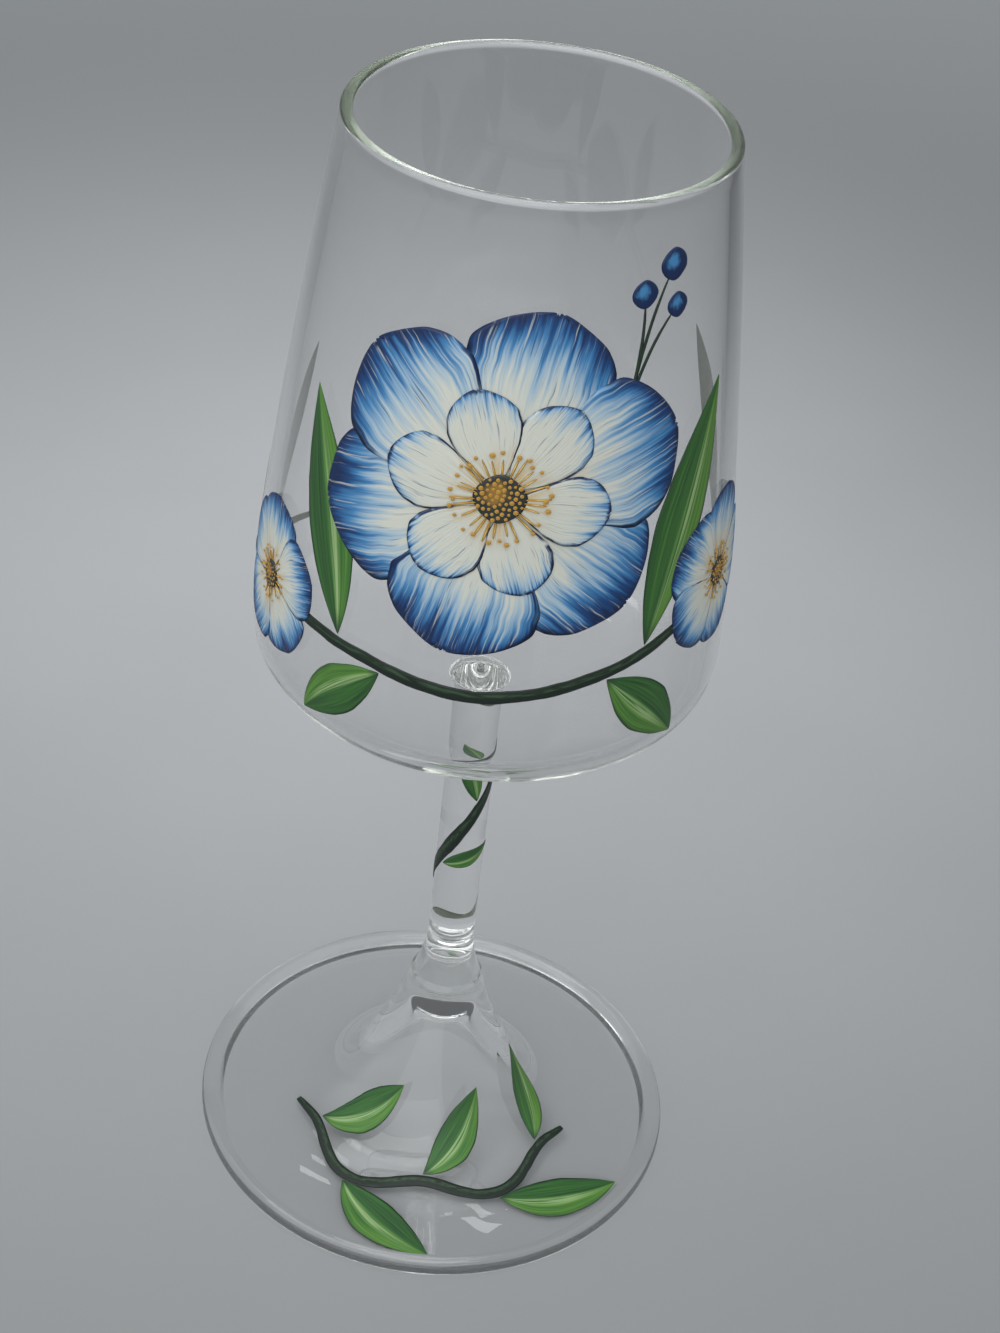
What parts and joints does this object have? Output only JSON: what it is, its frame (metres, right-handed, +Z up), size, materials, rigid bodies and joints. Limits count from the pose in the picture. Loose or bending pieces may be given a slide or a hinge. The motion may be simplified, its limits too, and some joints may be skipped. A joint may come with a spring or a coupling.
{
  "type": "painted stemmed wine glass",
  "caption": "Clear stemmed wine glass with a tapering bowl, slim stem and round foot, hand painted with a garland of blue blossoms and green leaves.",
  "frame": {"origin": "centre of the flat ring under the foot, on the table", "axes": "+Z up along the stem to the rim, -Y out of the painted front, +X to the right seen from the front"},
  "size_m": [0.0878, 0.0878, 0.2],
  "materials": {
    "clear_glass": "clear polished glass with a faint grey-green tint in thick edges",
    "petal_blue": "brushed glass paint, blue tips running into pale blue and cream",
    "petal_pale": "brushed glass paint, cream and pale blue with blue tips",
    "heart_ochre": "dabbed glass paint, yellow ochre round a dark middle",
    "leaf_green": "brushed glass paint, mid green with a lighter half",
    "vine_green": "brushed glass paint, black-green",
    "berry_blue": "dabbed glass paint, deep blue with a pale glint"
  },
  "bodies": {
    "root": {"foot": "clear_glass", "stem": "clear_glass", "bowl": "clear_glass", "front_petal_1": "petal_blue", "front_petal_2": "petal_blue", "front_petal_3": "petal_blue", "front_petal_4": "petal_blue", "front_petal_5": "petal_blue", "front_petal_6": "petal_blue", "front_inner_petal_1": "petal_pale", "front_inner_petal_2": "petal_pale", "front_inner_petal_3": "petal_pale", "front_inner_petal_4": "petal_pale", "front_inner_petal_5": "petal_pale", "front_inner_petal_6": "petal_pale", "front_heart": "heart_ochre", "right_petal_1": "petal_blue", "right_petal_2": "petal_blue", "right_petal_3": "petal_blue", "right_petal_4": "petal_blue", "right_petal_5": "petal_blue", "right_heart": "heart_ochre", "left_petal_1": "petal_blue", "left_petal_2": "petal_blue", "left_petal_3": "petal_blue", "left_petal_4": "petal_blue", "left_petal_5": "petal_blue", "left_heart": "heart_ochre", "bowl_vine": "vine_green", "bowl_leaf_1": "leaf_green", "bowl_leaf_2": "leaf_green", "bowl_leaf_3": "leaf_green", "bowl_leaf_4": "leaf_green", "bowl_leaf_5": "leaf_green", "bowl_leaf_6": "leaf_green", "stem_vine": "vine_green", "stem_leaf_1": "leaf_green", "stem_leaf_2": "leaf_green", "foot_vine": "vine_green", "foot_leaf_1": "leaf_green", "foot_leaf_2": "leaf_green", "foot_leaf_3": "leaf_green", "foot_leaf_4": "leaf_green", "foot_leaf_5": "leaf_green", "berry_1": "berry_blue", "berry_2": "berry_blue", "berry_3": "berry_blue"}
  },
  "joints": []
}
